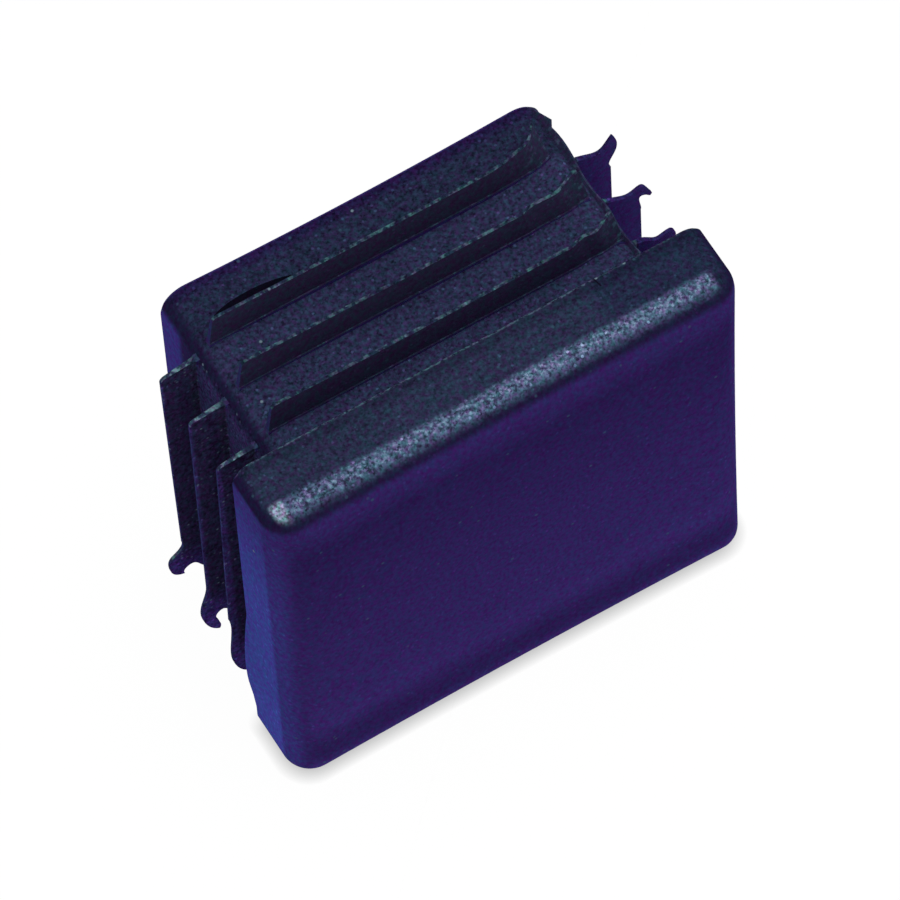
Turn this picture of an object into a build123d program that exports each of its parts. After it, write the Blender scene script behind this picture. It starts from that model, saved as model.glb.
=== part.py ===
"""Ribbed push-in end cap for a square tube, moulded in one piece.

All sizes are in millimetres. The seat that meets the end of the tube lies in the XZ
plane and the tube runs along Y. The solid head stands in front of the seat, at -Y, and
the hollow spigot with its thin fins reaches into the tube, at +Y. The cap lies on one
of its sides, so +Z is up. The origin is the centre of the seat.
"""

import os

from build123d import *

# The square tube that the cap closes
tube_size = 40.0  # outside width
tube_corner = 1.7  # outside corner radius
tube_wall = 1.5

# Head: the part that stays outside the tube
head_height = 6.85  # from the seat to the rim of the outer face
head_edge = 2.7  # round between the sides and the outer face
seat_edge = 0.15  # small bevel where the sides meet the seat
face_sink = 0.4  # how far the outer face is drawn in at its middle
face_skin = 2.4  # plastic between the outer face and the hollow

# Spigot: the box that reaches into the tube
spigot_length = 17.45
spigot_clearance = 2.18  # from the spigot's side to the tube's bore
spigot_corner = 2.2
spigot_wall = 1.7
rim_sink = 0.55  # how far the top and bottom are drawn in at the middle of the rim
rim_edge = 0.25  # bevel around the outside of the rim

# Fins: thin blades on all four sides, one row behind another
row_count = 3
first_row = 3.48  # from the seat to the middle of the first blade
row_pitch = 4.31
fin_squeeze = 0.9  # how far a blade's tip stands past the tube's bore
fin_end_gap = 1.75  # from a blade's end to the corner of the spigot's side
fin_end_slope = 0.7  # how much further a blade runs at its root than at its tip
root_thickness = 0.45
tip_thickness = 0.25
root_flare = 0.1  # how far the root widens onto the spigot
root_cover = 0.5  # plastic between the foot of a root and the hollow
tip_sink = 0.25  # how far the tip of an upright blade is drawn in at its middle
tip_corner = 0.5  # round where a tip meets the clean end of its blade

# Pit behind the last upright blade, where the skin came away with the mould
pit_place = (-10.0, 1.2)  # middle: across the side, and behind the blade
pit_size = (8.2, 2.6)
pit_slope = 0.35  # how far its sides run in on the way down
pit_skin = 0.85  # plastic left under it

# The mould parts along two opposite corners, so each sideways blade ends there in torn
# flash. An outline runs from the spigot to the tip of the flash, then back along the
# outside to the straight part of the blade. Each point is its distance past the tip
# and past the end that a clean blade has. The first outline is for the row by the seat.
right_flash = [
    (
        [(-3.1, 0.2), (-1.75, -0.3), (-1.05, -0.75), (-0.45, -0.55), (0.05, -0.45)],
        [(0.33, -0.75), (0.46, -1.45), (0.25, -2.4), (0.0, -3.4)],
    ),
    (
        [(-3.1, 0.1), (-2.0, -0.45), (-0.85, -0.8), (0.1, -0.42), (0.6, -1.1), (1.0, -2.05)],
        [(0.83, -2.3), (0.5, -1.95), (0.03, -1.75), (-0.05, -2.7), (0.0, -3.6)],
    ),
    (
        [(-3.1, -0.1), (-2.1, -0.45), (-0.9, -0.75), (-0.25, -0.05), (0.22, 0.65)],
        [(0.5, 0.0), (0.47, -1.5), (0.08, -2.35), (-0.13, -2.9), (0.0, -3.6)],
    ),
]
left_flash = [
    (
        [(-3.1, 1.4), (-2.0, 2.6), (-0.75, 3.4)],
        [(-0.35, 3.05), (0.1, 2.25), (0.43, 1.1), (0.52, 0.0), (0.43, -5.6)],
    ),
    (
        [(-3.1, 1.5), (-1.8, 1.5), (-1.0, 0.75), (-0.56, 1.1), (-0.68, 2.4), (-0.66, 3.5)],
        [(-0.26, 3.18), (0.37, 2.05), (0.7, 0.5), (0.58, -0.85), (0.17, -2.3), (0.0, -3.5)],
    ),
    (
        [(-3.1, 1.4), (-1.8, 1.2), (-0.9, 0.1), (-0.42, 0.3), (-0.23, 1.08)],
        [(0.76, 0.27), (0.96, -0.55), (0.7, -1.9), (0.22, -2.3), (-0.2, -2.75), (-0.33, -3.6)],
    ),
]
# How far the clean end of each left blade stands past the usual reach
left_splay = [0.06, -0.08, -0.1]
# By the same corners the upright blades are bent away from the seat. Each point of a bend
# is its distance past the end that a clean blade has, and how far the tip stands back.
tip_bend = [
    [(-4.2, 0), (-2.9, 0.16), (-2.25, 0.27), (-1.65, 0.14), (-0.75, 0.44), (0.4, 1.02)],
    [(-5.2, 0), (-3.1, 0.22), (-2.0, 0.25), (-0.8, 0.8), (-0.3, 1.0), (0.05, 1.04)],
    [(-5.4, 0), (-3.9, 0.2), (-2.4, 0.53), (-1.6, 0.82), (-1.2, 1.22), (-0.6, 2.0)],
]

# The same corners of the spigot carry a thin ridge of flash, with a nub near the rim. The
# crest is torn: each point is its share of the way to the nub, and its height past the
# corner's round.
ridge_crest = [
    (0, 0.3), (0.14, 0.42), (0.29, 0.2), (0.43, 0.38), (0.59, 0.15), (0.75, 0.4), (0.97, 0.36)
]
ridge_thickness = 0.25
nub_height = 0.73
nub_fall = 1.7  # length of its gentle side
nub_to_rim = 0.6

# The left side of the head swells out a little towards the seat, below its middle. Each
# point of the swell is its share of the width from the highest spot, and of the height.
swell_outline = [(0.5, -0.7), (0, 1), (-0.19, 0.77), (-0.32, 0.26), (-0.42, 0), (-0.5, -0.5)]
swell_height = 0.5
swell_middle = -9.0  # where its highest spot lies
swell_width = 18.8
swell_depth = 3.6  # from the seat to where it has died away
swell_fall = 0.7  # how far it comes down over that depth

# What follows from those sizes
bore_half = tube_size / 2 - tube_wall
spigot_half = bore_half - spigot_clearance
corner_reach = spigot_corner + (spigot_half - spigot_corner) * 2**0.5  # to its corner's round
ridge_end = spigot_length - nub_to_rim
nub_start = ridge_end - nub_fall
hollow_half = spigot_half - spigot_wall
hollow_corner = max(spigot_corner - spigot_wall, rim_edge)
blade_reach = bore_half + fin_squeeze
blade_end = spigot_half - fin_end_gap
blade_root = hollow_half + root_cover
rows = [first_row + index * row_pitch for index in range(row_count)]
dish_radius = (tube_size**2 / 2 + face_sink**2) / (2 * face_sink)  # level with the corners
half_turn = Location((0, 0, 0), (0, 180, 0))


def rounded_square(half, corner, sink=0):
    """Draw a rounded square, with its top and bottom drawn in by sink at the middle."""
    with BuildSketch() as outline:
        with BuildLine():
            for side in (half, -half):
                if sink:
                    middle = side - sink if side > 0 else side + sink
                    ThreePointArc((-half, side), (0, middle), (half, side))
                else:
                    Line((-half, side), (half, side))
                Line((side, -half), (side, half))
        make_face()
        fillet(outline.vertices(), radius=corner)
    return outline.sketch


def sideways_blade(flash, splay=0):
    """Make a blade on the +X side, centred on the seat, with its flash at +Z."""
    inner, outer = [[(blade_reach + x, blade_end + z) for x, z in half] for half in flash]
    half_root = root_thickness / 2
    half_tip = tip_thickness / 2
    half_foot = half_root + root_flare
    upper_side = [
        (blade_root, half_foot),
        (spigot_half, half_foot),
        (spigot_half + root_flare, half_root),
        (blade_reach, half_tip),
        (tube_size, half_tip),
    ]
    lower_side = [(x, -y) for x, y in reversed(upper_side)]
    with BuildPart() as blade:
        with BuildSketch(Plane.XZ.offset(-half_foot)):
            with BuildLine():
                Spline(inner)
                Spline([inner[-1]] + outer)
                FilletPolyline(
                    outer[-1],
                    (blade_reach + splay, -blade_end),
                    (blade_root, -blade_end - fin_end_slope),
                    radius=tip_corner,
                )
                Polyline(
                    (blade_root, -blade_end - fin_end_slope), (blade_root, blade_end), inner[0]
                )
            make_face()
        extrude(amount=2 * half_foot)
        with BuildSketch(Plane.XY):
            with BuildLine():
                Polyline(upper_side + lower_side, close=True)
            make_face()
        extrude(amount=tube_size, both=True, mode=Mode.INTERSECT)
    return blade.part


def upright_blade(bend):
    """Make a blade on the +Z side, centred on the seat, with its bent end at +X."""
    half_root = root_thickness / 2
    sections = [
        (blade_root, half_root + root_flare),
        (spigot_half, half_root + root_flare),
        (spigot_half + root_flare, half_root),
        (blade_reach, tip_thickness / 2),
    ]
    with BuildPart() as blade:
        for height, half in sections:
            climb = (height - blade_root) / (blade_reach - blade_root)
            torn_end = blade_end + fin_end_slope * (1 - climb)
            near = [(torn_end + x, climb * back - half) for x, back in bend]
            far = [(torn_end + x, climb * back + half) for x, back in bend]
            with BuildSketch(Plane.XY.offset(height)):
                with BuildLine():
                    Spline(near)
                    Spline(far)
                    Line(near[-1], far[-1])
                    Polyline(near[0], (-spigot_half, -half), (-spigot_half, half), far[0])
                make_face()
        loft(ruled=True)
        with BuildSketch(Plane.XZ):
            with BuildLine():
                crown = ThreePointArc(
                    (-blade_end, blade_reach),
                    (0, blade_reach - tip_sink),
                    (spigot_half, blade_reach),
                )
                Polyline(
                    crown @ 1,
                    (spigot_half, blade_root),
                    (-blade_end - fin_end_slope, blade_root),
                    crown @ 0,
                )
            limit = make_face()
            fillet(limit.vertices().sort_by(Axis.X)[1], radius=tip_corner)
        extrude(amount=tube_size, both=True, mode=Mode.INTERSECT)
    return blade.part


def pick(options, index):
    """Return the entry for a row, starting again once the entries run out."""
    return options[index % len(options)]


# Head: a rounded block with a slightly dished outer face
with BuildPart() as head:
    with BuildSketch(Plane.XZ):
        Rectangle(tube_size, tube_size)
    extrude(amount=head_height)
    with Locations((0, face_sink - head_height - dish_radius, 0)):
        Sphere(dish_radius, mode=Mode.SUBTRACT)
    fillet(head.faces().sort_by(Axis.Y)[0].edges(), radius=head_edge)
    fillet(head.edges().filter_by(Axis.Y), radius=tube_corner)
    chamfer(head.faces().sort_by(Axis.Y)[-1].edges(), length=seat_edge)

# Spigot: a box whose sides are drawn in towards the open rim
with BuildPart() as spigot:
    with BuildSketch(Plane.XZ.offset(head_height - face_skin)):
        add(rounded_square(spigot_half, spigot_corner))
    with BuildSketch(Plane.XZ.offset(rim_edge - spigot_length)):
        add(rounded_square(spigot_half, spigot_corner, rim_sink))
    with BuildSketch(Plane.XZ.offset(-spigot_length)):
        add(rounded_square(spigot_half - rim_edge, spigot_corner - rim_edge, rim_sink))
    loft(ruled=True)

# Hollow: the space inside, with an even wall around it
with BuildPart() as hollow:
    with BuildSketch(Plane.XZ.offset(head_height - face_skin)):
        add(rounded_square(hollow_half, hollow_corner))
    with BuildSketch(Plane.XZ.offset(-spigot_length)):
        add(rounded_square(hollow_half, hollow_corner, rim_sink))
    loft(ruled=True)

# Ridge: flash along the upper right corner, in a plane that cuts the corner in half
with BuildPart() as ridge:
    corner_plane = Plane(origin=(0, 0, 0), x_dir=(1, 0, 1), z_dir=(-1, 0, 1))
    with BuildSketch(corner_plane.offset(-ridge_thickness / 2)):
        with BuildLine():
            crest = Spline(
                [(corner_reach + height, share * nub_start) for share, height in ridge_crest]
            )
            Polyline(
                crest @ 1,
                (corner_reach + nub_height, nub_start),
                (corner_reach, ridge_end),
                (corner_reach - spigot_wall / 2, ridge_end),
                (corner_reach - spigot_wall / 2, 0),
                crest @ 0,
            )
        make_face()
    extrude(amount=ridge_thickness)

# Swell: a low bulge on the left side, highest at the seat
with BuildPart() as swell:
    for depth, fall in ((seat_edge, 0), (swell_depth, swell_fall)):
        bulge = [
            (fall - tube_size / 2 - rise * swell_height, swell_middle + way * swell_width)
            for way, rise in swell_outline
        ]
        with BuildSketch(Plane.XZ.offset(depth)):
            with BuildLine():
                Spline(bulge)
                Line(bulge[-1], bulge[0])
            make_face()
    loft()

# Pit: a shallow oval with sloping sides, behind the last row
with BuildPart() as pit:
    for height, inset in ((spigot_half, 0), (hollow_half + pit_skin, pit_slope)):
        with BuildSketch(Plane.XY.offset(height)):
            with Locations((pit_place[0], rows[-1] + pit_place[1])):
                Ellipse(pit_size[0] / 2 - inset, pit_size[1] / 2 - inset)
    loft()

# Flash and blades: the right and top ones, and the left and bottom ones turned half round
ridges = [ridge.part, half_turn * ridge.part]
blades = []
for index, row in enumerate(rows):
    place = Location((0, row, 0))
    right = sideways_blade(pick(right_flash, index))
    left = sideways_blade(pick(left_flash, index), pick(left_splay, index))
    top = upright_blade(pick(tip_bend, index))
    blades += [place * right, place * half_turn * left, place * top, place * half_turn * top]

# The whole cap, moulded as one
with BuildPart() as end_cap:
    add([head.part, spigot.part])
    add([hollow.part, pit.part], mode=Mode.SUBTRACT)
    add([swell.part] + ridges + blades)

end_cap.part.label = "end_cap"
os.makedirs("parts", exist_ok=True)
export_step(end_cap.part, "parts/end_cap.step")
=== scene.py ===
"""Looks of a ribbed push-in end cap for a square tube.

The cap is one piece of dark moulded plastic. It lies on a pale floor under one soft
lamp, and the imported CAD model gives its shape. Lengths are in metres. The seat that
meets the tube lies in the XZ plane, the head is at -Y, the spigot at +Y, and +Z is up.
"""

from __future__ import annotations

import logging
import math
from dataclasses import dataclass
from enum import Enum
from typing import Any, Mapping, Sequence, Union

import bpy
from mathutils import Matrix, Vector


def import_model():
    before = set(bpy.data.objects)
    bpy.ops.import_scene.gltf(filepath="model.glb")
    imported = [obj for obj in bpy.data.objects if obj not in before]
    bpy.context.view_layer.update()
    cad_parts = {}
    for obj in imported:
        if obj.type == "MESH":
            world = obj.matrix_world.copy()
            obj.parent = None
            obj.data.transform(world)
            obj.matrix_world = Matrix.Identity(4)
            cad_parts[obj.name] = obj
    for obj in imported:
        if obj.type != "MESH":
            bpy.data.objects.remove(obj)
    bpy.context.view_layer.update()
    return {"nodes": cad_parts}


LOG = logging.getLogger("end_cap")
MM = 0.001

Colour = tuple[float, float, float]
Point = tuple[float, float, float]
Range = tuple[float, float]  # where a mask is 0, then where it is 1

WHITE: Colour = (1.0, 1.0, 1.0)


class Maths(Enum):
    """What a Math node does with its numbers."""

    ADD = "ADD"
    SUBTRACT = "SUBTRACT"
    MULTIPLY = "MULTIPLY"
    DIVIDE = "DIVIDE"
    ABSOLUTE = "ABSOLUTE"
    MAXIMUM = "MAXIMUM"


class VectorMaths(Enum):
    """What a Vector Math node does with its two colours or vectors."""

    ADD = "ADD"
    MULTIPLY = "MULTIPLY"
    SCALE = "SCALE"
    DISTANCE = "DISTANCE"


class Socket:
    """An output of a shader node, which Python expressions can use as a number."""

    def __init__(self, graph: ShaderGraph, output: bpy.types.NodeSocket) -> None:
        """Keep the graph that the output belongs to.

        Args:
            graph: The graph that sums with this output are added to.
            output: The output that later nodes are linked to.
        """
        self.graph = graph
        self.output = output

    def __add__(self, other: Value) -> Socket:
        """Add a number."""
        return self.graph.maths(Maths.ADD, self, other)

    def __radd__(self, other: Value) -> Socket:
        """Be added to a number."""
        return self.graph.maths(Maths.ADD, other, self)

    def __sub__(self, other: Value) -> Socket:
        """Take a number away."""
        return self.graph.maths(Maths.SUBTRACT, self, other)

    def __rsub__(self, other: Value) -> Socket:
        """Be taken away from a number."""
        return self.graph.maths(Maths.SUBTRACT, other, self)

    def __mul__(self, other: Value) -> Socket:
        """Multiply by a number."""
        return self.graph.maths(Maths.MULTIPLY, self, other)

    def __rmul__(self, other: Value) -> Socket:
        """Be multiplied by a number."""
        return self.graph.maths(Maths.MULTIPLY, other, self)

    def __truediv__(self, other: Value) -> Socket:
        """Divide by a number."""
        return self.graph.maths(Maths.DIVIDE, self, other)

    def __abs__(self) -> Socket:
        """Drop the sign."""
        return self.graph.maths(Maths.ABSOLUTE, self, 0.0)


Value = Union[Socket, float, Sequence[float]]


class PlacedNode:
    """A node in a graph, whose outputs are read by name."""

    def __init__(self, graph: ShaderGraph, node: bpy.types.Node) -> None:
        """Keep the node and its graph.

        Args:
            graph: The graph that the node is in.
            node: The node.
        """
        self.graph = graph
        self.node = node

    def __getitem__(self, name: str | int) -> Socket:
        """Return the output of that name or number."""
        return Socket(self.graph, self.node.outputs[name])


class ShaderGraph:
    """The nodes of one material or of the world."""

    def __init__(self, owner: bpy.types.Material | bpy.types.World) -> None:
        """Start with an empty node tree.

        Args:
            owner: The material or world that the nodes belong to.
        """
        owner.use_nodes = True
        self.tree = owner.node_tree
        self.tree.nodes.clear()

    def node(
        self,
        kind: str,
        settings: Mapping[str, Any] | None = None,
        values: Mapping[str | int, Value] | None = None,
    ) -> PlacedNode:
        """Add a node.

        Args:
            kind: The node's type.
            settings: Its properties. "stops" gives the (place, colour) pairs of a ramp.
            values: A number, a colour or a link for each of its inputs.

        Returns:
            The placed node.
        """
        made = self.tree.nodes.new(kind)
        for name, setting in (settings or {}).items():
            if name == "stops":
                elements = made.color_ramp.elements
                while len(elements) < len(setting):
                    elements.new(1.0)
                for element, (place, colour) in zip(elements, setting):
                    element.position = place
                    element.color = (*colour, 1.0)
            else:
                setattr(made, name, setting)
        for name, value in (values or {}).items():
            socket = made.inputs[name]
            if isinstance(value, Socket):
                self.tree.links.new(value.output, socket)
            elif socket.type == "RGBA":
                socket.default_value = (*value, 1.0)
            else:
                socket.default_value = value
        return PlacedNode(self, made)

    def mix(self, amount: Value, under: Value, over: Value) -> Socket:
        """Lay one colour over another.

        Args:
            amount: How much of the upper colour shows, from 0 to 1.
            under: The lower colour.
            over: The upper colour.

        Returns:
            The mixed colour.
        """
        settings = {"data_type": "RGBA", "clamp_factor": True}
        return self.node("ShaderNodeMix", settings, {0: amount, 6: under, 7: over})[2]

    def maths(self, operation: Maths, first: Value, second: Value) -> Socket:
        """Work out a number.

        Args:
            operation: What is done with the two.
            first: The first number.
            second: The second number.

        Returns:
            The result.
        """
        settings = {"operation": operation.value}
        return self.node("ShaderNodeMath", settings, {0: first, 1: second})["Value"]

    def vector(self, operation: VectorMaths, first: Value, second: Value) -> Socket:
        """Work out a colour, a vector or a distance.

        Args:
            operation: What is done with the two.
            first: The first colour or vector.
            second: The second one, or the number to scale by.

        Returns:
            The result.
        """
        other = "Scale" if operation is VectorMaths.SCALE else 1
        result = "Value" if operation is VectorMaths.DISTANCE else "Vector"
        settings = {"operation": operation.value}
        return self.node("ShaderNodeVectorMath", settings, {0: first, other: second})[result]

    def larger(self, first: Value, second: Value) -> Socket:
        """Take the larger of two numbers."""
        return self.maths(Maths.MAXIMUM, first, second)

    def parts(self, vector: Socket) -> tuple[Socket, Socket, Socket]:
        """Split a vector into its three numbers.

        Args:
            vector: The vector to split.

        Returns:
            Its X, Y and Z.
        """
        split = self.node("ShaderNodeSeparateXYZ", None, {0: vector})
        return split["X"], split["Y"], split["Z"]

    def ramp(self, value: Socket, ends: Range) -> Socket:
        """Turn a range of numbers into a smooth mask.

        Args:
            value: The number to read.
            ends: Where the mask is 0 and where it is 1. The second may be the smaller.

        Returns:
            The mask, from 0 to 1.
        """
        made = self.node(
            "ShaderNodeMapRange",
            {"interpolation_type": "SMOOTHSTEP", "clamp": True},
            {"Value": value, "From Min": min(ends), "From Max": max(ends)},
        )
        return made["Result"] if ends[0] < ends[1] else 1.0 - made["Result"]

    def noise(self, place: Socket, grain: float, layers: float = 1.0) -> Socket:
        """Make a soft random pattern.

        Args:
            place: Where on the piece the pattern is read.
            grain: The size of its spots in metres.
            layers: How many finer layers it has.

        Returns:
            A number from 0 to 1, about 0.5 on average.
        """
        values = {"Vector": place, "Scale": 1.0 / grain, "Detail": layers}
        return self.node("ShaderNodeTexNoise", {"noise_dimensions": "3D"}, values)[0]

    def cells(self, place: Socket, size: float) -> PlacedNode:
        """Make a pattern of random cells.

        Args:
            place: Where on the piece the pattern is read.
            size: The mean size of a cell in metres.

        Returns:
            The pattern, with each cell's random colour and the distance to its middle.
        """
        return self.node("ShaderNodeTexVoronoi", None, {"Vector": place, "Scale": 1.0 / size})

    def finish(self, shader: Socket, kind: str = "ShaderNodeOutputMaterial") -> None:
        """Send a shader to the surface.

        Args:
            shader: The shader.
            kind: The type of the output node.
        """
        self.node(kind, None, {"Surface": shader})


@dataclass(frozen=True)
class Spot:
    """A shaded point: where it lies on the cap, and which way the surface faces there.

    `place` holds all of its position, and `across`, `along` and `height` are its X, Y and Z.
    The last three are how far the surface faces +X, +Y and +Z, each from -1 to 1.
    """

    place: Socket
    across: Socket
    along: Socket
    height: Socket
    rightward: Socket
    backward: Socket
    upward: Socket

    @classmethod
    def read(cls, graph: ShaderGraph) -> Spot:
        """Read the point in the cap's own frame.

        Args:
            graph: The material's nodes.

        Returns:
            The point.
        """
        coordinates = graph.node("ShaderNodeTexCoord")
        place = coordinates["Object"]
        return cls(place, *graph.parts(place), *graph.parts(coordinates["Normal"]))


@dataclass(frozen=True)
class Dots:
    """Small round dots, scattered at random.

    Each dot lies in a cell of its own. Only cells whose random number, from 0 to 1, is high
    enough have one: it is faint from the first number of `chosen` and full from the second.
    """

    spacing: float
    chosen: Range
    edge: Range

    def mask(self, graph: ShaderGraph, place: Socket) -> Socket:
        """Find the dots.

        Args:
            graph: The material's nodes.
            place: Where on the piece the dots are read.

        Returns:
            A mask that is 1 in the middle of each full dot.
        """
        cells = graph.cells(place, self.spacing)
        chance = graph.parts(cells["Color"])[0]
        outer, inner = self.edge
        dots = graph.ramp(cells["Distance"], (outer / self.spacing, inner / self.spacing))
        return dots * graph.ramp(chance, self.chosen)


@dataclass(frozen=True)
class Grain:
    """The fine mottling that a spark-eroded mould leaves, with small bright dots that are painted
    glints.
    """

    # Light and dark: soft spots, sharp grains, broad clouds, and bright dots that are painted
    # glints
    stretch: Point = (1.0, 1.0, 0.80)
    soft_size: float = 0.34 * MM
    soft_layers: float = 2.0
    soft_gain: float = 3.2
    sand_size: float = 0.15 * MM
    sand_gain: float = 0.9
    cloud_size: float = 3.0 * MM
    cloud_gain: float = 0.6
    painted_glint: Dots = Dots(0.40 * MM, (0.84, 0.95), (0.15 * MM, 0.08 * MM))
    painted_glint_gain: float = 2.0
    darkest: float = 0.30

    # Hue, in spots of their own that lie apart from the light and dark
    hue_size: float = 0.33 * MM
    hue_shift: Point = (0.0, 50.0 * MM, 0.0)
    hue_reach: Range = (0.15, 0.85)
    teal: Colour = (0.72, 1.46, 1.06)
    violet: Colour = (1.30, 0.55, 0.95)

    # Dust that lies everywhere
    dust: Dots = Dots(1.60 * MM, (0.10, 0.60), (0.18 * MM, 0.07 * MM))
    dust_colour: Colour = (0.045, 0.105, 0.155)
    dust_amount: float = 0.50

    # Pale specks, which gather in patches
    speckle: Dots = Dots(0.40 * MM, (0.45, 1.00), (0.15 * MM, 0.05 * MM))
    speckle_colour: Colour = (0.150, 0.210, 0.290)
    speckle_patch: float = 1.4 * MM
    speckle_thick: Range = (0.45, 0.68)

    def light(self, graph: ShaderGraph, spot: Spot) -> Socket:
        """Make the light and dark of the mottling, with its painted glints.

        Args:
            graph: The material's nodes.
            spot: The shaded point.

        Returns:
            A number on both sides of 0, which is seldom below -1 or above 1.
        """
        place = graph.vector(VectorMaths.MULTIPLY, spot.place, self.stretch)
        soft = graph.noise(place, self.soft_size, self.soft_layers) - 0.5
        cloud = graph.noise(place, self.cloud_size) - 0.5
        sand = graph.parts(graph.cells(place, self.sand_size)["Color"])[0] - 0.5
        painted_glint = self.painted_glint.mask(graph, place)
        even = self.soft_gain * soft + self.sand_gain * sand + self.cloud_gain * cloud
        return even + self.painted_glint_gain * painted_glint

    def apply(
        self,
        graph: ShaderGraph,
        spot: Spot,
        colour: Socket,
        light: Socket,
        amount: Socket,
        speckled: Socket,
    ) -> Socket:
        """Break up a plain colour.

        Args:
            graph: The material's nodes.
            spot: The shaded point.
            colour: The plain colour.
            light: The light and dark of the mottling.
            amount: How strong the light and dark are, from 0 to 1.
            speckled: Where the plastic is peppered with pale specks.

        Returns:
            The mottled colour.
        """
        place = graph.vector(VectorMaths.MULTIPLY, spot.place, self.stretch)
        elsewhere = graph.vector(VectorMaths.ADD, place, self.hue_shift)
        hue = graph.ramp(graph.noise(elsewhere, self.hue_size), self.hue_reach)
        tint = graph.mix(hue, self.teal, self.violet)
        mottled = graph.vector(VectorMaths.MULTIPLY, colour, tint)
        bright = graph.larger(1.0 + amount * light, self.darkest)
        mottled = graph.vector(VectorMaths.SCALE, mottled, bright)
        dust = self.dust_amount * self.dust.mask(graph, spot.place)
        mottled = graph.mix(dust, mottled, self.dust_colour)
        patches = graph.ramp(graph.noise(spot.place, self.speckle_patch), self.speckle_thick)
        specks = speckled * patches * self.speckle.mask(graph, spot.place)
        return graph.mix(specks, mottled, self.speckle_colour)


@dataclass(frozen=True)
class Knocks:
    """Small pale nicks, and one dark scratch that runs back across the seat's edge."""

    # Nicks, by the middle of each
    nick: Colour = (0.160, 0.230, 0.280)
    nick_edge: Range = (0.17 * MM, 0.07 * MM)
    nicks: tuple[Point, ...] = (
        (10.95 * MM, -0.10 * MM, 20.00 * MM),
        (13.35 * MM, -0.10 * MM, 20.00 * MM),
        (-0.25 * MM, 16.40 * MM, 15.85 * MM),
        (-14.20 * MM, 5.75 * MM, 16.20 * MM),
        (-11.70 * MM, 10.20 * MM, 16.10 * MM),
        (-9.70 * MM, 12.10 * MM, 19.20 * MM),
        (-20.00 * MM, -2.60 * MM, 12.00 * MM),
    )

    # Scratch, which leans a little to the left on its way back
    scratch: Colour = (0.0060, 0.0050, 0.0140)
    scratch_across: float = 10.75 * MM
    scratch_slant: float = 0.2
    scratch_edge: Range = (0.10 * MM, 0.03 * MM)
    scratch_front: Range = (-0.95 * MM, -0.85 * MM)
    scratch_back: Range = (1.40 * MM, 1.30 * MM)
    scratch_skyward: Range = (0.60, 0.80)

    def apply(self, graph: ShaderGraph, spot: Spot, colour: Socket) -> Socket:
        """Mark the plastic.

        Args:
            graph: The material's nodes.
            spot: The shaded point.
            colour: The plastic's colour.

        Returns:
            The colour with the marks.
        """
        middle = self.scratch_across - self.scratch_slant * spot.along
        scratch = graph.ramp(abs(spot.across - middle), self.scratch_edge)
        scratch = scratch * graph.ramp(spot.along, self.scratch_front)
        scratch = scratch * graph.ramp(spot.along, self.scratch_back)
        scratch = scratch * graph.ramp(spot.upward, self.scratch_skyward)
        colour = graph.mix(scratch, colour, self.scratch)
        for centre in self.nicks:
            away = graph.vector(VectorMaths.DISTANCE, spot.place, centre)
            colour = graph.mix(graph.ramp(away, self.nick_edge), colour, self.nick)
        return colour


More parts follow.
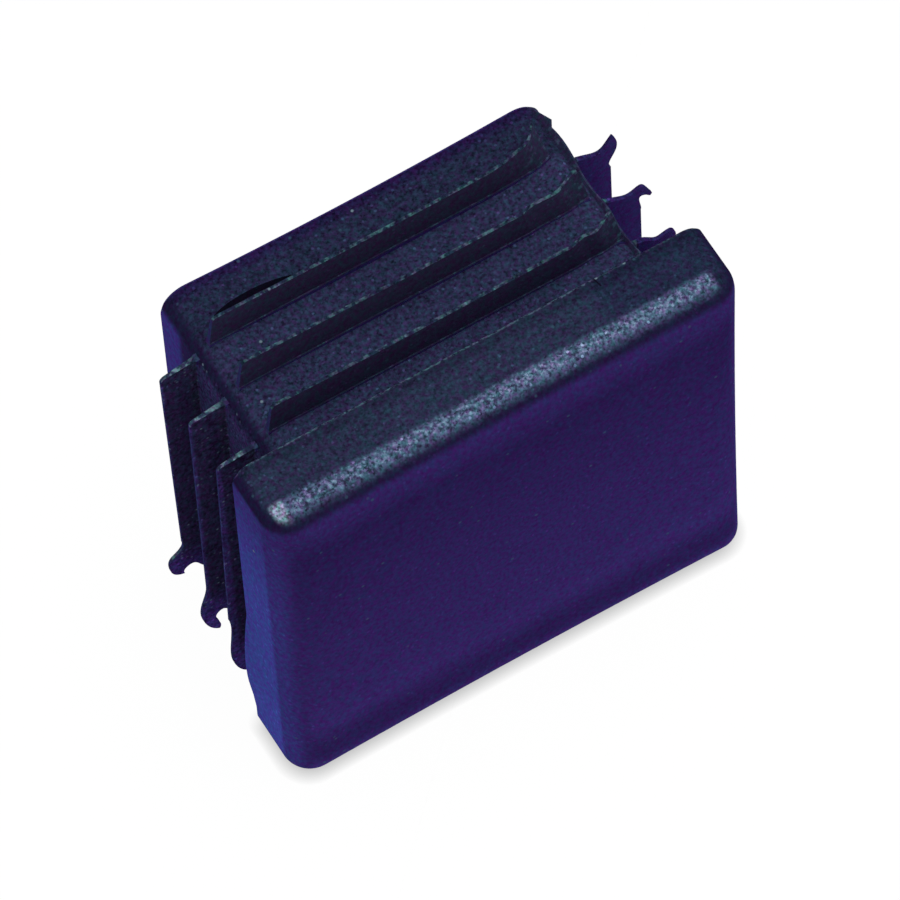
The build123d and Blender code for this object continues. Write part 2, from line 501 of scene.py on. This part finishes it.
@dataclass(frozen=True)
class HeadColours:
    """Colours of the head: violet in front, with light and shade painted on: a painted bluish
    reflection at the sides, painted shade where the surfaces turn up, a lighter slate painted on
    top, and a painted highlight along the upper front edge.
    """

    half: float = 20.0 * MM

    # Outer face, with painted light and shade in bands of brightness by height, which run out as
    # it turns to the sides
    violet: Colour = (0.0490, 0.0265, 0.1720)
    painted_light_bands: tuple[tuple[float, float], ...] = (
        (-18.4 * MM, 1.40),
        (-17.4 * MM, 0.85),
        (-16.6 * MM, 0.62),
        (-15.2 * MM, 0.60),
        (-12.0 * MM, 0.90),
        (-8.0 * MM, 0.79),
        (0.0 * MM, 0.72),
        (15.0 * MM, 0.51),
        (17.6 * MM, 0.70),
    )
    side_band: float = 0.76
    side_turn: Range = (0.35, 0.75)

    # Sides, with a painted bluish reflection that begins on the front round and is full behind it
    blue: Colour = (0.0523, 0.0623, 0.3235)
    blue_turn: Range = (0.55, 0.97)
    blue_turn_share: float = 0.35
    blue_flat: Range = (0.90, 0.96)
    blue_start: Range = (-4.5 * MM, -3.9 * MM)
    blue_height: Range = (26.0 * MM, 2.0 * MM)
    blue_low: Range = (-9.0 * MM, -17.0 * MM)
    blue_lift: float = 0.22

    # Painted shade: a dark band where the face and the sides turn up
    dark: Colour = (0.0140, 0.0104, 0.0425)
    dark_tilt: Range = (0.28, 0.56)
    dark_frontward: float = 0.18
    dark_sideways: float = 0.22

    # Upper side: a lighter slate painted where it looks up, as the lamp's sheen on it, duller at
    # the right and near the seat
    slate: Colour = (0.0232, 0.0291, 0.0660)
    skyward: Range = (0.64, 0.93)
    dull_right: Colour = (0.74, 0.76, 0.83)
    right: Range = (8.5 * MM, 11.5 * MM)
    dip: Range = (-1.5 * MM, -0.7 * MM)
    dip_depth: float = 0.27

    # Painted highlight along the upper front edge, brightest by its left corner; the coat adds a
    # real polish there
    lit: Colour = (0.0735, 0.1080, 0.1985)
    painted_highlight_corner: Colour = (0.2400, 0.3200, 0.4300)
    lit_rise: Range = (-6.0 * MM, -4.95 * MM)
    lit_fall: Range = (-3.65 * MM, -4.35 * MM)
    lit_left: Range = (-19.3 * MM, -18.9 * MM)
    lit_bright: Range = (-17.9 * MM, -18.3 * MM)
    lit_right: Range = (18.6 * MM, 17.9 * MM)
    lit_skyward: Range = (0.60, 0.80)

    def colour(self, graph: ShaderGraph, spot: Spot) -> Socket:
        """Lay the head's colours over each other.

        Args:
            graph: The material's nodes.
            spot: The shaded point.

        Returns:
            The head's colour.
        """
        sideways = abs(spot.rightward)
        front = self._front(graph, spot, sideways)
        # Painted bluish reflection on the sides, as the floor seen at a glancing angle.
        painted_reflection = self._painted_reflection_mask(graph, spot, sideways)
        colour = graph.mix(painted_reflection, front, self._painted_side_blue(graph, spot))
        # Painted shade in the band where the surfaces turn up.
        tilt = spot.upward - self.dark_frontward * abs(spot.backward)
        tilt = tilt + self.dark_sideways * sideways
        colour = graph.mix(graph.ramp(tilt, self.dark_tilt), colour, self.dark)
        # A lighter slate is painted on what looks up, as the lamp's sheen.
        return graph.mix(graph.ramp(spot.upward, self.skyward), colour, self._top(graph, spot))

    def _front(self, graph: ShaderGraph, spot: Spot, sideways: Socket) -> Socket:
        """Make the violet of the outer face.

        Args:
            graph: The material's nodes.
            spot: The shaded point.
            sideways: How far the surface faces to either side, from 0 to 1.

        Returns:
            The violet, with painted light and shade in soft bands.
        """
        share = (spot.height + self.half) / (2.0 * self.half)
        stops = [
            (0.5 + 0.5 * height / self.half, (brightness, brightness, brightness))
            for height, brightness in self.painted_light_bands
        ]
        bands = graph.node("ShaderNodeValToRGB", {"stops": stops}, {"Fac": share})["Color"]
        even = (self.side_band, self.side_band, self.side_band)
        bands = graph.mix(graph.ramp(sideways, self.side_turn), bands, even)
        return graph.vector(VectorMaths.MULTIPLY, self.violet, bands)

    def _painted_reflection_mask(self, graph: ShaderGraph, spot: Spot, sideways: Socket) -> Socket:
        """Mark where the painted bluish reflection lies on the sides of the head.

        Args:
            graph: The material's nodes.
            spot: The shaded point.
            sideways: How far the surface faces to either side, from 0 to 1.

        Returns:
            A mask that is 1 on the lower part of the sides.
        """
        flat = graph.ramp(sideways, self.blue_flat) * graph.ramp(spot.along, self.blue_start)
        turned = graph.ramp(sideways, self.blue_turn)
        painted_reflection = self.blue_turn_share * turned + (1.0 - self.blue_turn_share) * flat
        return painted_reflection * graph.ramp(spot.height, self.blue_height)

    def _painted_side_blue(self, graph: ShaderGraph, spot: Spot) -> Socket:
        """Make the painted bluish reflection of the sides, a little brighter towards the bottom.
        """
        lift = 1.0 + self.blue_lift * graph.ramp(spot.height, self.blue_low)
        return graph.vector(VectorMaths.SCALE, self.blue, lift)

    def _top(self, graph: ShaderGraph, spot: Spot) -> Socket:
        """Make the lighter slate painted on the upper side, with the painted highlight on its
        front edge.

        Args:
            graph: The material's nodes.
            spot: The shaded point.

        Returns:
            The colour of what looks up.
        """
        dull = graph.mix(graph.ramp(spot.across, self.right), WHITE, self.dull_right)
        slate = graph.vector(VectorMaths.MULTIPLY, self.slate, dull)
        dip = 1.0 - self.dip_depth * graph.ramp(spot.along, self.dip)
        slate = graph.vector(VectorMaths.SCALE, slate, dip)
        # Painted highlight, brighter towards the left corner.
        lit = graph.mix(graph.ramp(spot.across, self.lit_bright), self.lit, self.painted_highlight_corner)
        return graph.mix(self.painted_highlight_mask(graph, spot), slate, lit)

    def painted_highlight_mask(self, graph: ShaderGraph, spot: Spot) -> Socket:
        """Mark the upper front edge, where the highlight is painted and the coat lies.

        Args:
            graph: The material's nodes.
            spot: The shaded point.

        Returns:
            A mask that is 1 along the edge.
        """
        strip = graph.ramp(spot.along, self.lit_rise) * graph.ramp(spot.along, self.lit_fall)
        strip = strip * graph.ramp(spot.across, self.lit_right)
        strip = strip * graph.ramp(spot.across, self.lit_left)
        return strip * graph.ramp(spot.upward, self.lit_skyward)


@dataclass(frozen=True)
class SpigotColours:
    """Colours of the spigot, with light and shade painted on: a lighter slate on top, violet walls
    with a painted bluish reflection at the left, and painted shade on the rounded corners and in
    the pit.
    """

    # Upper side, a lighter slate painted where it looks up, darker behind the last blade and at
    # the rim
    slate: Colour = (0.0288, 0.0335, 0.0830)
    rear: Colour = (0.0185, 0.0230, 0.0560)
    rim: Colour = (0.0160, 0.0090, 0.0500)
    skyward: Range = (0.64, 0.93)
    rear_start: Range = (12.1 * MM, 12.7 * MM)
    rim_start: Range = (15.6 * MM, 17.2 * MM)

    # Walls: the left one has painted shade, deeper behind the last blade, and a painted bluish
    # reflection near the rim
    wall: Colour = (0.0440, 0.0290, 0.1600)
    left_wall: Colour = (0.0395, 0.0350, 0.1150)
    left_shade: Colour = (0.0300, 0.0190, 0.0900)
    left_painted_blue: Colour = (0.0500, 0.0380, 0.2290)
    leftward: Range = (-0.30, -0.60)
    blue_start: Range = (13.9 * MM, 14.8 * MM)

    # Painted shade on the rounded corners, and the end face of the rim
    corner: Colour = (0.0140, 0.0120, 0.0420)
    corner_tilt: Range = (0.10, 0.50)
    right: Range = (14.0 * MM, 15.0 * MM)
    rear_face: Colour = (0.0400, 0.0240, 0.1500)
    rearward: Range = (0.50, 0.80)

    # Painted shade on the wall of the pit behind the last upright blade
    painted_pit_shade: Colour = (0.0110, 0.0090, 0.0240)
    pit_wall: Range = (-0.25, -0.50)

    # Flash along two opposite corners, worn pale in places
    flash: Colour = (0.0260, 0.0280, 0.0680)
    flash_edge: Colour = (0.0480, 0.0680, 0.1200)
    flash_start: Range = (31.36 * MM, 31.56 * MM)
    flash_wear: float = 0.9 * MM
    flash_layers: float = 3.0
    flash_worn: Range = (0.56, 0.68)

    def colour(self, graph: ShaderGraph, spot: Spot) -> Socket:
        """Lay the spigot's colours over each other.

        Args:
            graph: The material's nodes.
            spot: The shaded point.

        Returns:
            The spigot's colour.
        """
        behind = graph.ramp(spot.along, self.rear_start)
        at_rim = graph.ramp(spot.along, self.rim_start)
        # Painted shade and a painted bluish reflection on the left wall.
        left = graph.mix(behind, self.left_wall, self.left_shade)
        left = graph.mix(graph.ramp(spot.along, self.blue_start), left, self.left_painted_blue)
        wall = graph.mix(graph.ramp(spot.rightward, self.leftward), self.wall, left)
        top = graph.mix(behind, self.slate, self.rear)
        top = graph.mix(at_rim, top, self.rim)
        # Painted shade on the rounded corners, with the flash colour at the right.
        corner = graph.mix(graph.ramp(spot.across, self.right), self.corner, self.flash)
        colour = graph.mix(graph.ramp(spot.upward, self.corner_tilt), wall, corner)
        # A lighter slate is painted on what looks up.
        colour = graph.mix(graph.ramp(spot.upward, self.skyward), colour, top)
        painted_pit_shade = behind * graph.ramp(spot.backward, self.pit_wall)
        colour = graph.mix(painted_pit_shade, colour, self.painted_pit_shade)
        colour = graph.mix(self._past_corner(graph, spot), colour, self._torn(graph, spot))
        rear_face = graph.ramp(spot.backward, self.rearward) * at_rim
        return graph.mix(rear_face, colour, self.rear_face)

    def _past_corner(self, graph: ShaderGraph, spot: Spot) -> Socket:
        """Mark what stands out past the rounds of the two corners with flash."""
        return graph.ramp(abs(spot.across + spot.height), self.flash_start)

    def _torn(self, graph: ShaderGraph, spot: Spot) -> Socket:
        """Make the colour of the flash along the corners."""
        breakup = graph.noise(spot.place, self.flash_wear, self.flash_layers)
        return graph.mix(graph.ramp(breakup, self.flash_worn), self.flash, self.flash_edge)


@dataclass(frozen=True)
class HollowColours:
    """Colours inside the spigot: dark violet walls, and a lighter slate painted on what looks up.
    """

    wall: Colour = (0.0330, 0.0220, 0.1120)
    floor: Colour = (0.0230, 0.0230, 0.0640)
    floor_tilt: Range = (0.10, 0.60)
    reach: Range = (15.1 * MM, 15.0 * MM)
    depth: Range = (-5.6 * MM, -5.4 * MM)

    def colour(self, graph: ShaderGraph, spot: Spot) -> Socket:
        """Make the colour of the hollow's sides and end."""
        # A lighter slate is painted on what looks up.
        return graph.mix(graph.ramp(spot.upward, self.floor_tilt), self.wall, self.floor)

    def inside(self, graph: ShaderGraph, spot: Spot, reach: Socket) -> Socket:
        """Mark the hollow.

        Args:
            graph: The material's nodes.
            spot: The shaded point.
            reach: How far the point is from the middle, across or in height.

        Returns:
            A mask that is 1 in the hollow.
        """
        return graph.ramp(reach, self.reach) * graph.ramp(spot.along, self.depth)


@dataclass(frozen=True)
class BladeColours:
    """Colours of the fins and their flash, with light and shade painted on: near black faces,
    darker or lighter by side and by which way they face, and pale torn rims with a painted
    highlight.
    """

    # Upright blades, with painted shade on their faces; their torn ends are bent over and smeared,
    # and painted lighter where they lean up
    upright_face: Colour = (0.0343, 0.0302, 0.0766)
    upright_rim: Colour = (0.0150, 0.0220, 0.0500)
    upright_rim_highlight: Colour = (0.0520, 0.0950, 0.1250)
    bent_face: Colour = (0.0260, 0.0280, 0.0640)
    bent_smear: Colour = (0.0440, 0.0640, 0.1150)
    bend: Range = (0.08, 0.28)

    # Left blades, with painted light: paler at the root, the tip and the foot
    left_face: Colour = (0.0290, 0.0226, 0.0720)
    left_root: Colour = (0.0420, 0.0400, 0.1120)
    left_tip: Colour = (0.0480, 0.0320, 0.1450)
    left_foot: Colour = (0.0700, 0.0390, 0.2430)
    left_rim: Colour = (0.0290, 0.0420, 0.0850)
    left_rim_highlight: Colour = (0.1100, 0.1850, 0.2250)
    left_start: Range = (-16.8 * MM, -17.2 * MM)
    left_root_end: Range = (-17.5 * MM, -16.6 * MM)
    left_root_height: Range = (2.0 * MM, 12.0 * MM)
    left_tip_start: Range = (-19.0 * MM, -19.4 * MM)
    left_foot_height: Range = (-11.0 * MM, -17.0 * MM)

    # Right blades
    right_face: Colour = (0.0450, 0.0250, 0.1490)
    right_rim: Colour = (0.0280, 0.0190, 0.1000)
    right_start: Range = (16.4 * MM, 16.7 * MM)

    # Rims of all the blades: a pale painted highlight broken up in patches, and a bluer painted
    # reflection where they turn to the sides
    rim_turn: Range = (0.60, 0.35)
    steep_rim: Colour = (0.0280, 0.0280, 0.1090)
    steep: Range = (0.60, 0.30)
    breakup_size: float = 0.55 * MM
    breakup_layers: float = 3.0
    rim_highlight_breakup: Range = (0.44, 0.62)
    smear_wear: Range = (0.52, 0.64)

    def colour(self, graph: ShaderGraph, spot: Spot) -> Socket:
        """Lay the blades' colours over each other.

        Args:
            graph: The material's nodes.
            spot: The shaded point.

        Returns:
            The blades' colour.
        """
        breakup = graph.noise(spot.place, self.breakup_size, self.breakup_layers)
        left = graph.ramp(spot.across, self.left_start)
        right = graph.ramp(spot.across, self.right_start)
        # Painted shade: the upright and left faces are darker than the right ones.
        faces = graph.mix(left, self.upright_face, self._left_faces(graph, spot))
        faces = graph.mix(right, faces, self.right_face)
        # Painted light: the bent ends that lean up are lighter.
        bent = graph.ramp(spot.upward, self.bend) * (1.0 - right) * (1.0 - left)
        smeared = graph.ramp(breakup, self.smear_wear)
        faces = graph.mix(bent, faces, graph.mix(smeared, self.bent_face, self.bent_smear))
        # Painted highlight along the rims, in patches.
        painted_highlight_patches = graph.ramp(breakup, self.rim_highlight_breakup)
        rims = graph.mix(painted_highlight_patches, self.upright_rim, self.upright_rim_highlight)
        rims = graph.mix(left, rims, graph.mix(painted_highlight_patches, self.left_rim, self.left_rim_highlight))
        rims = graph.mix(graph.ramp(spot.upward, self.steep), rims, self.steep_rim)
        rims = graph.mix(right, rims, self.right_rim)
        return graph.mix(graph.ramp(abs(spot.backward), self.rim_turn), faces, rims)

    def _left_faces(self, graph: ShaderGraph, spot: Spot) -> Socket:
        """Make the faces of the left blades, with painted light at the root, the tip and the foot.

        Args:
            graph: The material's nodes.
            spot: The shaded point.

        Returns:
            The colour of those faces.
        """
        near_root = graph.ramp(spot.across, self.left_root_end)
        near_root = near_root * graph.ramp(spot.height, self.left_root_height)
        faces = graph.mix(near_root, self.left_face, self.left_root)
        faces = graph.mix(graph.ramp(spot.across, self.left_tip_start), faces, self.left_tip)
        return graph.mix(graph.ramp(spot.height, self.left_foot_height), faces, self.left_foot)


@dataclass(frozen=True)
class SeatEdgeHighlight:
    """A painted highlight: a pale, broken line along the upper edge of the seat, where the edge
    catches the light.
    """

    # Colour of the painted highlight
    pale: Colour = (0.0800, 0.1250, 0.1800)
    start: Range = (-0.28 * MM, -0.10 * MM)
    height: Range = (17.0 * MM, 18.0 * MM)
    skyward: Range = (0.45, 0.65)
    right: Range = (10.2 * MM, 11.8 * MM)
    right_loss: float = 0.65
    patch_size: float = 0.35 * MM
    patch_layers: float = 2.0
    painted_highlight_patches: Range = (0.36, 0.62)

    def apply(self, graph: ShaderGraph, spot: Spot, colour: Socket) -> Socket:
        """Paint the highlight along the head's edge.

        Args:
            graph: The material's nodes.
            spot: The shaded point.
            colour: The head's colour.

        Returns:
            The colour with the line.
        """
        line = graph.ramp(spot.along, self.start) * graph.ramp(spot.height, self.height)
        line = line * graph.ramp(spot.upward, self.skyward)
        patches = graph.noise(spot.place, self.patch_size, self.patch_layers)
        line = line * graph.ramp(patches, self.painted_highlight_patches)
        line = line * (1.0 - self.right_loss * graph.ramp(spot.across, self.right))
        return graph.mix(line, colour, self.pale)


@dataclass(frozen=True)
class MouldedPlastic:
    """Dark plastic with the fine grain of a spark-eroded mould, and with light and shade painted
    into its colours.
    """

    name: str = "moulded_plastic"
    grain: Grain = Grain()
    knocks: Knocks = Knocks()
    head: HeadColours = HeadColours()
    spigot: SpigotColours = SpigotColours()
    hollow: HollowColours = HollowColours()
    blades: BladeColours = BladeColours()
    seat_highlight: SeatEdgeHighlight = SeatEdgeHighlight()

    # Where the head ends, and how far the blades' feet lie from the middle
    seat: Range = (0.0, 0.2 * MM)
    past_box: Range = (16.33 * MM, 16.39 * MM)

    # Strength of the grain: everywhere, on top, more behind the seat, and on the lit edge
    even_grain: float = 0.19
    skyward_grain: float = 0.32
    spigot_grain: float = 0.14
    lit_grain: float = 0.42
    skyward: Range = (0.60, 0.90)

    # The speckled left side of the spigot, between the blades
    speckled_side: Range = (-15.9 * MM, -16.1 * MM)
    speckled_end: Range = (12.7 * MM, 12.1 * MM)

    # Surface: dull, with a thin polish on the lit edge
    roughness: float = 0.6
    coat: float = 0.80
    coat_light: Range = (-0.2, 1.6)
    coat_roughness: float = 0.25
    relief: float = 0.02 * MM
    relief_strength: float = 0.5

    def make(self) -> bpy.types.Material:
        """Make the material.

        Returns:
            The new material.
        """
        material = bpy.data.materials.new(self.name)
        graph = ShaderGraph(material)
        spot = Spot.read(graph)
        light = self.grain.light(graph, spot)
        # Where the highlight is painted; the coat and a stronger grain lie there too.
        lit = self.head.painted_highlight_mask(graph, spot)
        behind = graph.ramp(spot.along, self.seat)
        speckled = behind * graph.ramp(spot.across, self.speckled_side)
        speckled = speckled * graph.ramp(spot.along, self.speckled_end)
        rough = graph.larger(graph.ramp(spot.upward, self.skyward), speckled)
        amount = self.even_grain + self.lit_grain * lit
        amount = amount + rough * (self.skyward_grain + self.spigot_grain * behind)
        plain = self._colour(graph, spot, behind)
        colour = self.grain.apply(graph, spot, plain, light, amount, speckled)
        colour = self.knocks.apply(graph, spot, colour)
        relief = {"Strength": self.relief_strength, "Distance": self.relief, "Height": light}
        bump = graph.node("ShaderNodeBump", None, relief)
        shader = graph.node(
            "ShaderNodeBsdfPrincipled",
            None,
            {
                "Base Color": colour,
                "Roughness": self.roughness,
                "Specular IOR Level": 0.0,
                "Coat Weight": self.coat * lit * graph.ramp(light, self.coat_light),
                "Coat Roughness": self.coat_roughness,
                "Normal": bump["Normal"],
            },
        )
        graph.finish(shader["BSDF"])
        return material

    def _colour(self, graph: ShaderGraph, spot: Spot, behind: Socket) -> Socket:
        """Give each part of the cap its colours.

        Args:
            graph: The material's nodes.
            spot: The shaded point.
            behind: A mask that is 1 behind the seat.

        Returns:
            The plain colour, before the grain.
        """
        head = self.seat_highlight.apply(graph, spot, self.head.colour(graph, spot))
        colour = graph.mix(behind, head, self.spigot.colour(graph, spot))
        reach = graph.larger(abs(spot.across), abs(spot.height))
        blade = behind * graph.ramp(reach, self.past_box)
        colour = graph.mix(blade, colour, self.blades.colour(graph, spot))
        inside = self.hollow.inside(graph, spot, reach)
        return graph.mix(inside, colour, self.hollow.colour(graph, spot))


@dataclass(frozen=True)
class PaperWhite:
    """Matt white paper that glows evenly for the camera, with a soft contact shadow painted into
    the glow.
    """

    name: str = "paper_white"
    colour: Colour = (0.92, 0.92, 0.92)
    glow: float = 0.97
    open_glow: float = 1.01
    contact_reach: float = 1.35 * MM
    contact_shade: float = 0.66
    contact_samples: int = 16

    def make(self) -> bpy.types.Material:
        """Make the material.

        Returns:
            The new material.
        """
        material = bpy.data.materials.new(self.name)
        graph = ShaderGraph(material)
        rays = graph.node("ShaderNodeLightPath")
        paper = graph.node("ShaderNodeBsdfDiffuse", None, {"Color": self.colour})
        sky = graph.node(
            "ShaderNodeAmbientOcclusion",
            {"samples": self.contact_samples},
            {"Distance": self.contact_reach},
        )
        # Painted shadow: the glow dims where the cap comes close.
        bright = self.open_glow - self.contact_shade * (1.0 - sky["AO"])
        glow = graph.node("ShaderNodeEmission", None, {"Strength": bright})
        seen = graph.node(
            "ShaderNodeMixShader",
            None,
            {0: rays["Is Camera Ray"] * self.glow, 1: paper["BSDF"], 2: glow["Emission"]},
        )
        graph.finish(seen["Shader"])
        return material


@dataclass
class EndCap:
    """The cap itself, moulded in one piece."""

    node: str = "end_cap"
    slot: str = "plastic"
    finish: MouldedPlastic = MouldedPlastic()

    def dress(self, nodes: Mapping[str, bpy.types.Object]) -> bpy.types.Object:
        """Give the cap its plastic.

        Args:
            nodes: The CAD model's nodes by name.

        Returns:
            The dressed cap.
        """
        cap = nodes[self.node]
        cap.data.materials.clear()
        cap.data.materials.append(self.finish.make())
        return cap


@dataclass
class Studio:
    """A pale floor, an even surround and one soft lamp overhead."""

    floor_height: float = -20.0 * MM
    floor_size: float = 6.0
    surround: float = 0.55
    lamp_place: Point = (0.22, -0.06, 0.94)
    lamp_size: tuple[float, float] = (0.40, 0.64)
    lamp_power: float = 4.5
    paper: PaperWhite = PaperWhite()

    def lay_floor(self) -> bpy.types.Object:
        """Make the floor.

        Returns:
            The floor.
        """
        half = self.floor_size / 2
        corners = [(-half, -half), (half, -half), (half, half), (-half, half)]
        mesh = bpy.data.meshes.new("floor")
        mesh.from_pydata([(x, y, self.floor_height) for x, y in corners], [], [(0, 1, 2, 3)])
        mesh.materials.append(self.paper.make())
        floor = bpy.data.objects.new("floor", mesh)
        bpy.context.scene.collection.objects.link(floor)
        return floor

    def hang_lamp(self) -> bpy.types.Object:
        """Make the soft lamp over the cap, facing straight down.

        Returns:
            The lamp.
        """
        light = bpy.data.lights.new("soft_lamp", "AREA")
        light.shape = "RECTANGLE"
        light.size, light.size_y = self.lamp_size
        light.energy = self.lamp_power
        lamp = bpy.data.objects.new("soft_lamp", light)
        lamp.location = self.lamp_place
        bpy.context.scene.collection.objects.link(lamp)
        return lamp

    def fill_surround(self) -> bpy.types.World:
        """Light the scene evenly from all round, and show white behind it.

        Returns:
            The world.
        """
        world = bpy.data.worlds.new("surround")
        bpy.context.scene.world = world
        graph = ShaderGraph(world)
        rays = graph.node("ShaderNodeLightPath")
        strength = self.surround + (1.0 - self.surround) * rays["Is Camera Ray"]
        light = graph.node("ShaderNodeBackground", None, {"Color": WHITE, "Strength": strength})
        graph.finish(light["Background"], "ShaderNodeOutputWorld")
        return world


@dataclass
class Viewpoint:
    """The camera, aimed by its turn round the cap, its height and its roll."""

    target: Point = (-1.9452 * MM, 0.0, 5.9658 * MM)
    azimuth: float = 27.455
    elevation: float = 61.306
    roll: float = -3.818
    distance: float = 715.468 * MM
    lens: float = 385.505
    sensor: float = 36.0

    def place(self) -> bpy.types.Object:
        """Make the camera and look through it.

        Returns:
            The camera.
        """
        azimuth, elevation, roll = map(math.radians, (self.azimuth, self.elevation, self.roll))
        back = Vector(
            (
                -math.sin(azimuth) * math.cos(elevation),
                -math.cos(azimuth) * math.cos(elevation),
                math.sin(elevation),
            )
        )
        level = Vector((math.cos(azimuth), -math.sin(azimuth), 0.0))
        rise = back.cross(level)
        right = math.cos(roll) * level + math.sin(roll) * rise
        up = math.cos(roll) * rise - math.sin(roll) * level
        data = bpy.data.cameras.new("camera")
        data.sensor_width = self.sensor
        data.lens = self.lens
        camera = bpy.data.objects.new("camera", data)
        turn = Matrix((right, up, back)).transposed().to_4x4()
        camera.matrix_world = Matrix.Translation(Vector(self.target) + self.distance * back) @ turn
        bpy.context.scene.collection.objects.link(camera)
        bpy.context.scene.camera = camera
        return camera


def main() -> None:
    """Dress the cap, light it and place the camera."""
    logging.basicConfig(level=logging.INFO, format="%(name)s: %(message)s")
    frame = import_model()
    bpy.context.scene.view_settings.view_transform = "Standard"
    cap = EndCap().dress(frame["nodes"])
    LOG.info("dressed %s with %d faces", cap.name, len(cap.data.polygons))
    studio = Studio()
    for part in (studio.lay_floor(), studio.hang_lamp(), studio.fill_surround()):
        LOG.info("placed %s", part.name)
    camera = Viewpoint().place()
    LOG.info("placed %s", camera.name)


if __name__ == "__main__":
    main()
